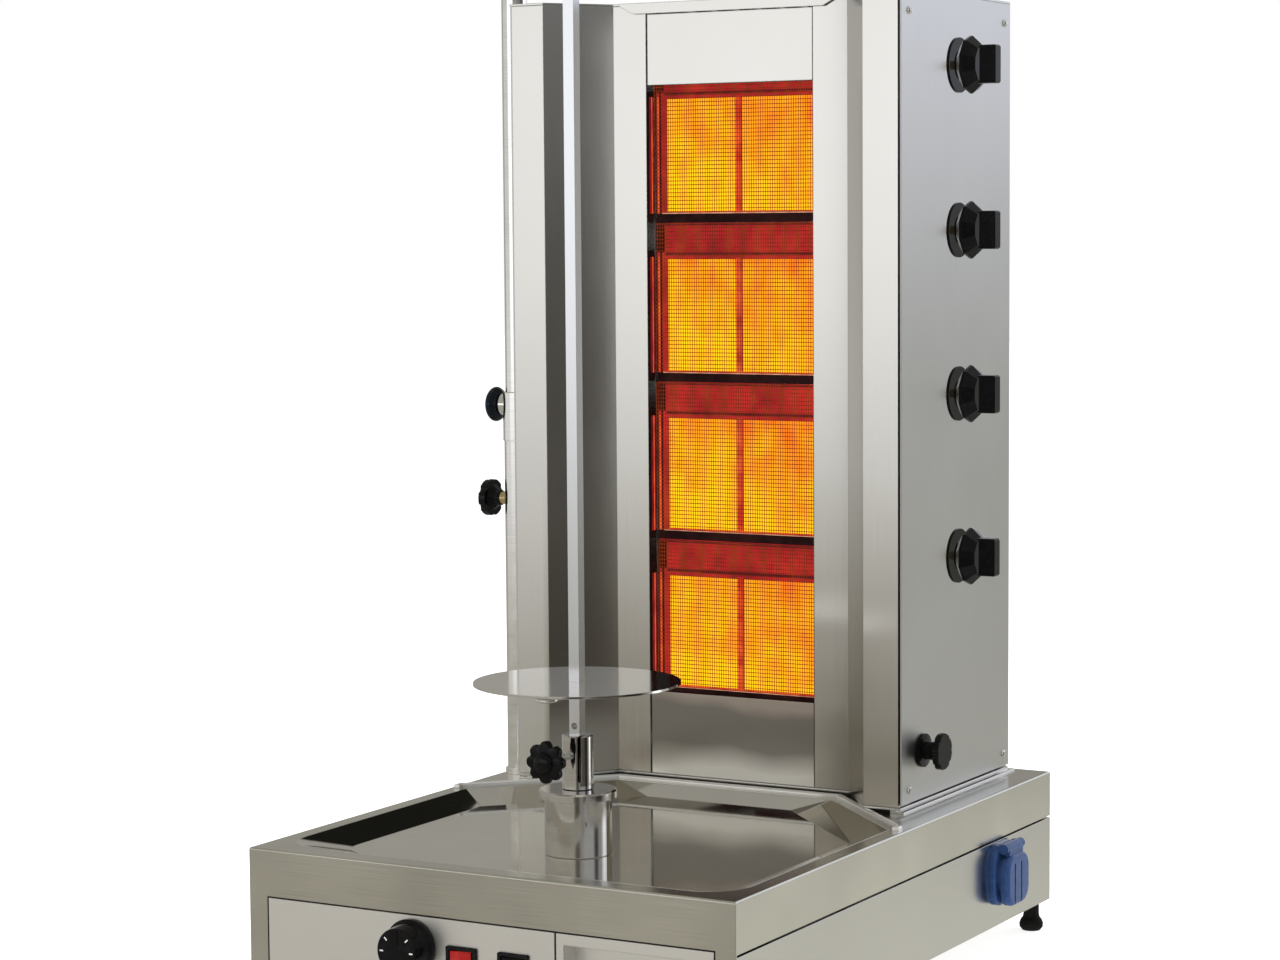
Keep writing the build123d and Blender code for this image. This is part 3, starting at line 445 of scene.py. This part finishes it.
def make_studio():
    """Cards by direction: a toward-direction, where the card fades in and is full, its colour, its masks."""
    studio = Studio((0.34, 0.33, 0.30))
    height = studio.toward((0.0, 0.0, 1.0))
    level = studio.both(height, height)
    off_level = studio.soft_step(level, 0.002, 0.008)
    up = studio.soft_step(height, -0.02, 0.05)
    low = studio.soft_step(height, -0.185, -0.205)
    rising = studio.soft_step(height, -0.16, 0.01)
    below_lamp = studio.soft_step(height, 0.20, 0.095)

    def card(aim, start, full, colour, *masks):
        factor = studio.soft_step(studio.toward(aim), start, full)
        for mask in masks:
            factor = studio.both(factor, mask)
        studio.lay(factor, colour)

    behind = (0.42, 0.91, 0.05)
    ahead = (-0.55, -0.83, 0.0)
    beside = (0.97, -0.22, 0.0)
    # wall behind the tower, in three heights
    card(behind, 0.70, 0.93, (0.44, 0.435, 0.39))
    card(behind, 0.70, 0.93, (0.62, 0.61, 0.54), low)
    card(behind, 0.70, 0.93, (0.86, 0.88, 0.97), up)
    # bright front, kept low so that only upright steel sees it
    card(ahead, 0.45, 0.75, (0.34, 0.32, 0.27))
    card(ahead, 0.45, 0.75, (1.30, 1.30, 1.29), rising, below_lamp)
    card((-0.90, -0.43, 0.0), 0.82, 0.94, (0.56, 0.55, 0.52), rising, below_lamp)
    # dim right-hand side and the dark and bright bars that streak the round pieces
    card(beside, 0.72, 0.90, (0.075, 0.068, 0.058))
    card(beside, 0.72, 0.90, (0.37, 0.375, 0.38), studio.soft_step(height, -0.03, 0.2))
    card((0.47, -0.88, 0.0), 0.955, 0.985, (0.07, 0.062, 0.052), off_level)
    card((1.0, 0.08, 0.0), 0.955, 0.985, (0.02, 0.02, 0.02), off_level)
    card((0.77, 0.64, 0.0), 0.975, 0.988, (1.7, 1.7, 1.7), off_level)
    # overhead panel, and a dark patch above the back
    card((0.0, 0.0, 1.0), 0.955, 0.985, (0.95, 0.95, 0.95))
    card((-0.29, 0.81, 0.515), 0.955, 0.985, (0.01, 0.01, 0.008))
    studio.finish((1.0, 1.0, 1.0))


make_camera()
make_floor()
make_studio()
softbox("key", (-1.5, -2.2, 2.6), (0.0, 0.0, 0.4), 1.6, 45.0)
softbox("top", (0.4, 0.6, 3.0), (0.0, 0.0, 0.3), 2.0, 50.0)
bpy.context.scene.view_settings.view_transform = "Standard"

# ------------------------------------------------------------------ materials on the CAD pieces

STEEL = (0.74, 0.735, 0.715)
BLACK = (0.004, 0.004, 0.0045)

steel_x = satin("steel_grain_along_x", STEEL, "X")
steel_y = satin("steel_grain_along_y", STEEL, "Y")
steel_z = satin("steel_grain_along_z", STEEL, "Z")
black_gloss = plastic("black_gloss", BLACK)
black_matt = plastic("black_matt", (0.010, 0.010, 0.010), rough=0.5, coat=0.0, grain=0.6)

use(steel_x, "cover_upper", "roof")
use(shaded_cover("cover_steel", *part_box("cover_lower")), "cover_lower")
use(satin("apron_steel", (0.73, 0.72, 0.665), "X", cloud=0.13, lines=0.06, radius=0.0007), "top_pan")
use(satin("panel_steel", (0.98, 0.97, 0.945), "X", rough=0.38, lines=0.004), "control_panel", "drawer_front")
use(steel_y, "base_shell", "drawer_pan", "drawer_runners", "tower_floor", "motor_bracket")
use(steel_z, "rear_panel", "top_arm")

# The wings are painted darker towards the foot, a painted shade standing in for the darker reflection there.
# The left wing's flat face, outside its bend, stays unshaded.
WING_SHADE = (0.45, 0.425, 0.375)
WING_SHADE_FROM = 0.45
WING_SHADE_FULL = 0.17
FACE_WIDE = 0.027
BEND_WIDE = 0.006
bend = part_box("wing_left")[0].x + FACE_WIDE
left_wing_shade = (WING_SHADE, WING_SHADE_FROM, WING_SHADE_FULL, bend, bend + BEND_WIDE)
use(satin("wing_left_steel", STEEL, "Z", painted_light=left_wing_shade), "wing_left")
wing_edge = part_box("wing_right")[1].x
right_wing_shade = (WING_SHADE, WING_SHADE_FROM, WING_SHADE_FULL, wing_edge + 0.01, wing_edge)
use(satin("wing_right_steel", STEEL, "Z", painted_light=right_wing_shade), "wing_right")

# The right side panel is painted darker towards the foot: painted shade.
SIDE_SHADE = (0.60, 0.60, 0.59)
SIDE_SHADE_FROM = 0.86
SIDE_SHADE_FULL = 0.52
SIDE_ROUGH = 0.36
side_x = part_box("side_panel_right")[0].x
side_shade = (SIDE_SHADE, SIDE_SHADE_FROM, SIDE_SHADE_FULL, side_x - 0.01, side_x)
use(satin("side_panel_steel", (0.78, 0.79, 0.805), "Z", rough=SIDE_ROUGH, painted_light=side_shade), "side_panel_right")
use(satin("side_panel_left_steel", (0.76, 0.77, 0.785), "Z", rough=SIDE_ROUGH), "side_panel_left")

use(mirror("tray_bright", (0.79, 0.775, 0.73), rough=0.06, wave=0.12), "drip_tray")
use(mirror("lip_bright", (0.93, 0.93, 0.92), rough=0.05, wave=0.1, metallic=0.7), "rear_lip", "slide_rails")
use(turned("turned_steel", (0.74, 0.73, 0.71), rough=0.08), "bearing_housing", "bearing_cap", "spit_coupling")
use(turned("column_steel", (0.97, 0.97, 0.965), rough=0.10), "column_tube", "column_rod", "column_collar")
use(satin("spit_steel", (0.78, 0.80, 0.84), "Z", rough=0.17, radius=0.0004), "spit_bar")
use(satin("disc_steel", (0.84, 0.83, 0.81), "X", rough=0.09, radius=0.0004), "meat_disc")
use(turned("plated", (0.95, 0.95, 0.93), rough=0.10), "tower_screws", "disc_clip", "drive_shaft")
use(black_gloss, "thermostat_dial", "column_clamp_knob", "tower_clamp_knob",
    "valve_knob_1", "valve_knob_2", "valve_knob_3", "valve_knob_4", "black_rocker")
use(plastic("index_black", (0.003, 0.007, 0.013), rough=0.07, coat=0.35), "index_knob")
use(black_matt, "feet", "rocker_bezels", "cable_gland", "regulator_body")
use(plastic("red_lens", (0.34, 0.016, 0.014), rough=0.14, worn=0.02), "red_rocker")
socket_blue = plastic("socket_blue", (0.030, 0.072, 0.205), rough=0.15, coat=0.5, worn=0.01)
use(socket_blue, "socket_lid", "socket_body")
use(yellow_metal("brass", (0.80, 0.66, 0.36)), "gas_manifold", "column_clamp_bush")
use(yellow_metal("bronze", (0.70, 0.46, 0.24)), "arm_bush")
use(yellow_metal("valve_brass", (0.70, 0.58, 0.32)), "gas_valves")
use(painted("motor_paint", (0.12, 0.13, 0.14), rough=0.45), "gear_motor")
# The burner iron carries a faint painted glow, so that the disc shows a dark red reflection of it: painted
# reflection.
burner_iron_painted_glow = glowing("burner_iron_painted_glow", (0.012, 0.004, 0.004), (0.030, 0.010, 0.009), 0.7, scale=60.0,
                      body=(0.004, 0.002, 0.002))
use(burner_iron_painted_glow, "burner_1", "burner_2", "burner_3", "burner_4")

BURNERS = 4
plates_low, plates_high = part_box("ceramic_plates")
PITCH = (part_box("burner_4")[0].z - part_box("burner_1")[0].z) / (BURNERS - 1)
PLATE_TALL = plates_high.z - plates_low.z - (BURNERS - 1) * PITCH
use(ceramic("ceramic_glow", 1.45, plates_low.z, PITCH, PLATE_TALL), "ceramic_plates")
use(glowing("frame_glow", (0.33, 0.013, 0.018), (0.56, 0.028, 0.024), 1.05, scale=34.0), "burner_frames")

# These make no reflections in the steel around them.
for name in ("ceramic_plates", "burner_frames"):
    NODES[name].visible_glossy = False
for number in range(BURNERS):
    NODES[f"valve_knob_{number + 1}"].visible_glossy = False


# ------------------------------------------------------------------ burner fronts


def block(bm, low, high):
    """A squared strip between two corners, with its long edges eased."""
    size = Vector(high) - Vector(low)
    place = Matrix.Translation((Vector(low) + Vector(high)) / 2) @ Matrix.Diagonal((*size, 1.0))
    made = bmesh.ops.create_cube(bm, size=1.0, matrix=place)
    edges = list({edge for vert in made["verts"] for edge in vert.link_edges})
    bmesh.ops.bevel(bm, geom=edges, offset=min(size) * 0.2, segments=1, affect="EDGES")


def burner_strip(x0, z0, x1, z1, proud):
    """Box of a thin strip standing proud of the lowest burner's frame."""
    return (x0, face_y - proud, z0), (x1, face_y - STRIP_BACK, z1)


def strips(name, material, boxes):
    """The same strips on each of the four burners, from boxes given at the lowest burner."""
    bm = bmesh.new()
    for number in range(BURNERS):
        lift = Vector((0.0, 0.0, PITCH * number))
        for low, high in boxes:
            block(bm, Vector(low) + lift, Vector(high) + lift)
    made = finish_mesh(name, bm, material, "tower", smooth=False)
    made.visible_glossy = False


STRIP_BACK = 0.0002
frames_low, frames_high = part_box("burner_frames")
face_y = frames_low.y
low_z = plates_low.z
high_z = plates_low.z + PLATE_TALL
band_top = high_z + 0.0313
left_x = frames_low.x
mid_x = (plates_low.x + plates_high.x) / 2
right_x = frames_high.x

ledge_painted_highlight = glowing("ledge_painted_highlight", (0.62, 0.20, 0.13), (0.95, 0.50, 0.30), 0.9, scale=90.0)
band_painted_shadow = glowing("band_painted_shadow_glow", (0.075, 0.008, 0.012), (0.11, 0.010, 0.014), 0.9, scale=60.0)
# Red-hot frame edges on the burners; the same glow on the left wing's flange is a painted reflection.
streak = glowing("hot_edge_and_painted_reflection", (0.62, 0.040, 0.018), (0.95, 0.13, 0.030), 1.05, scale=60.0)
soot = glowing("soot_edge", (0.010, 0.003, 0.004), (0.03, 0.004, 0.005), 0.8, scale=60.0)

# A glowing strip on each frame's lower edge: a painted highlight.
strips("burner_ledges", ledge_painted_highlight,
       [burner_strip(left_x + 0.006, low_z - 0.0003, right_x, low_z + 0.0007, proud=0.0012)])
# Dark red lines along the foot and the top of each mesh band: painted shadow.
strips("burner_band_painted_shadows", band_painted_shadow,
       [burner_strip(left_x + 0.009, high_z + 0.0012, right_x, high_z + 0.0040, proud=0.0010),
        burner_strip(left_x, band_top - 0.0026, right_x, band_top - 0.0002, proud=0.0010)])
strips("burner_hot_edges", streak,
       [burner_strip(left_x + 0.0012, low_z, left_x + 0.0030, high_z, proud=0.0010),
        burner_strip(mid_x - 0.0026, low_z + 0.0015, mid_x + 0.0026, high_z - 0.001, proud=0.0008),
        burner_strip(plates_low.x, low_z + 0.0009, right_x, low_z + 0.0021, proud=0.0007)])
strips("burner_soot_edges", soot,
       [burner_strip(left_x + 0.0034, low_z, left_x + 0.0050, high_z + 0.030, proud=0.0011),
        burner_strip(left_x, high_z + 0.0040, left_x + 0.0085, band_top, proud=0.0009)])

# Glowing strips on the side of the left wing's flange paint the reflection of the burners in it: painted
# reflection.
flange_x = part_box("wing_left")[1].x
flange_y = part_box("wing_left")[1].y
painted_light = glowing("painted_flange_reflection", (0.10, 0.006, 0.010), (0.30, 0.014, 0.018), 0.9, scale=45.0)
strips("flange_painted_reflection", painted_light,
       [((flange_x, flange_y - 0.0085, low_z), (flange_x + 0.0004, flange_y - 0.0012, high_z))])
strips("flange_painted_reflection_lines", streak,
       [((flange_x + 0.0003, flange_y - 0.0050, low_z), (flange_x + 0.0006, flange_y - 0.0035, high_z))])

MESH_PITCH_X = 0.0024
MESH_PITCH_Z = 0.0036
WIRE = 0.00034
wire_glow = glowing("wire_glow", (0.16, 0.018, 0.006), (0.34, 0.050, 0.008), 0.8, scale=60.0)


def make_wire(index, low, high):
    """Fine crossed wires over one burner."""
    bm = bmesh.new()
    count_x = round((high.x - low.x) / MESH_PITCH_X)
    count_z = round((high.z - low.z) / MESH_PITCH_Z)
    y = (low.y + high.y) / 2
    for i in range(count_x + 1):
        x = low.x + (high.x - low.x) * i / count_x
        bar(bm, (x, y - WIRE * 0.6, low.z), (x, y - WIRE * 0.6, high.z), WIRE)
    for i in range(count_z + 1):
        z = low.z + (high.z - low.z) * i / count_z
        bar(bm, (low.x, y + WIRE * 0.6, z), (high.x, y + WIRE * 0.6, z), WIRE)
    mesh = finish_mesh(f"wire_mesh_{index}", bm, wire_glow, "tower", smooth=False)
    mesh.visible_glossy = False
    return mesh


mesh_low, mesh_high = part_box("burner_mesh")
tall = mesh_high.z - mesh_low.z - (BURNERS - 1) * PITCH
for number in range(BURNERS):
    base_z = mesh_low.z + PITCH * number
    piece = make_wire(number + 1, Vector((mesh_low.x, mesh_low.y, base_z)),
                      Vector((mesh_high.x, mesh_high.y, base_z + tall)))
    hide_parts("burner_mesh")


# ------------------------------------------------------------------ spit clamp grip

CLAMP_LOBES = 8
clamp_low, clamp_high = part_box("coupling_knob")
CLAMP_AT = (clamp_low + clamp_high) / 2
CLAMP_R = (clamp_high.x - clamp_low.x) / 2
GRIP_DEEP = 0.0208
STUD_R = 0.0036
STUD_SUNK = 0.002


def lathe(bm, centre, rings, around, outline):
    """Rings of points about a line along -Y; each ring is (reach, distance forward)."""
    loops = []
    for reach, ahead in rings:
        loop = []
        for i in range(around):
            angle = 2 * math.pi * i / around
            r = reach * outline(angle)
            spot = Vector((r * math.cos(angle), -ahead, r * math.sin(angle)))
            loop.append(bm.verts.new(centre + spot))
        loops.append(loop)
    for one, two in zip(loops, loops[1:]):
        for i in range(around):
            j = (i + 1) % around
            bm.faces.new((one[i], one[j], two[j], two[i]))
    bm.faces.new(loops[0][::-1])
    bm.faces.new(loops[-1])


def lobes(angle):
    """Star outline: broad lobes with rounded hollows between them."""
    wave = 0.5 + 0.5 * math.cos(CLAMP_LOBES * angle)
    return 1.0 - 0.17 * (1.0 - wave) ** 2


def round_outline(angle):
    return 1.0


def make_clamp_grip():
    bm = bmesh.new()
    back = Vector((CLAMP_AT.x, clamp_low.y + GRIP_DEEP, CLAMP_AT.z))
    star = [(0.50, 0.0), (0.55, 0.004), (0.93, 0.0042), (0.985, 0.0056), (1.0, 0.0080), (0.985, 0.0105),
            (0.93, 0.0122), (0.60, 0.0126)]
    lathe(bm, back, [(CLAMP_R * r, y) for r, y in star], 128, lobes)
    dome = [(0.50, 0.0120), (0.49, 0.0140), (0.42, 0.0158), (0.28, 0.0168), (0.10, 0.0172)]
    lathe(bm, back, [(CLAMP_R * r, y) for r, y in dome], 48, round_outline)
    grip = finish_mesh("clamp_grip", bm, black_gloss, "coupling_knob")
    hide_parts("coupling_knob")
    bm = bmesh.new()
    start = Vector((CLAMP_AT.x, clamp_high.y, CLAMP_AT.z))
    length = clamp_high.y - back.y + STUD_SUNK
    rings = [(0.0030, 0.0), (STUD_R, 0.0008), (STUD_R, length)]
    lathe(bm, start, rings, 40, round_outline)
    stud = finish_mesh("clamp_stud", bm, stud_steel, "coupling_knob")
    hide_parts("coupling_knob")


stud_steel = turned("stud_steel", (0.82, 0.82, 0.80), rough=0.14)
make_clamp_grip()

# ------------------------------------------------------------------ black strips of painted shade in the gap round the control panel

panel_low, panel_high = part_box("control_panel")
front_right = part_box("drawer_front")[1].x
GAP_SHADE_FROM = 0.00015
GAP_SHADE_WIDE = 0.0010
GAP_SHADE_BACK = 0.0004
GAP_SHADE_DEEP = 0.0012


def make_panel_gap_shade():
    """Black strips in the gap round the control panel and the crumb drawer's front: a painted shade in the
    gap.
    """
    bm = bmesh.new()
    y0 = panel_low.y + GAP_SHADE_BACK
    y1 = y0 + GAP_SHADE_DEEP
    x0 = panel_low.x - GAP_SHADE_FROM
    x1 = front_right + GAP_SHADE_FROM
    z0 = panel_low.z - GAP_SHADE_FROM
    z1 = panel_high.z + GAP_SHADE_FROM
    block(bm, (x0 - GAP_SHADE_WIDE, y0, z1), (x1 + GAP_SHADE_WIDE, y1, z1 + GAP_SHADE_WIDE))
    block(bm, (x0 - GAP_SHADE_WIDE, y0, z0 - GAP_SHADE_WIDE), (x1 + GAP_SHADE_WIDE, y1, z0))
    block(bm, (x0 - GAP_SHADE_WIDE, y0, z0), (x0, y1, z1))
    block(bm, (x1, y0, z0), (x1 + GAP_SHADE_WIDE, y1, z1))
    finish_mesh("panel_gap_shade", bm, black_matt, "base", smooth=False)


make_panel_gap_shade()

# ------------------------------------------------------------------ marks on the dial

dial_low, dial_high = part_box("thermostat_dial")
dial_at = Vector(((dial_low.x + dial_high.x) / 2, dial_low.y, (dial_low.z + dial_high.z) / 2))
white_print = painted("white_print", (0.75, 0.75, 0.73), rough=0.5)
MARKS = 7
FIRST_MARK = -135
MARK_STEP = 45
MARK_REACH = 0.0142
MARK_SIZE = (0.0011, 0.0005, 0.0034)
MARK_BACK = 0.0005


def make_dial_marks():
    """Plain index marks around the face of the dial."""
    bm = bmesh.new()
    centre = Matrix.Translation(dial_at + Vector((0.0, MARK_BACK, 0.0)))
    outward = Matrix.Translation((0.0, 0.0, MARK_REACH)) @ Matrix.Diagonal((*MARK_SIZE, 1.0))
    for i in range(MARKS):
        angle = math.radians(FIRST_MARK + MARK_STEP * i)
        bmesh.ops.create_cube(bm, size=1.0, matrix=centre @ Matrix.Rotation(angle, 4, "Y") @ outward)
    finish_mesh("dial_marks", bm, white_print, "dial", smooth=False)


make_dial_marks()
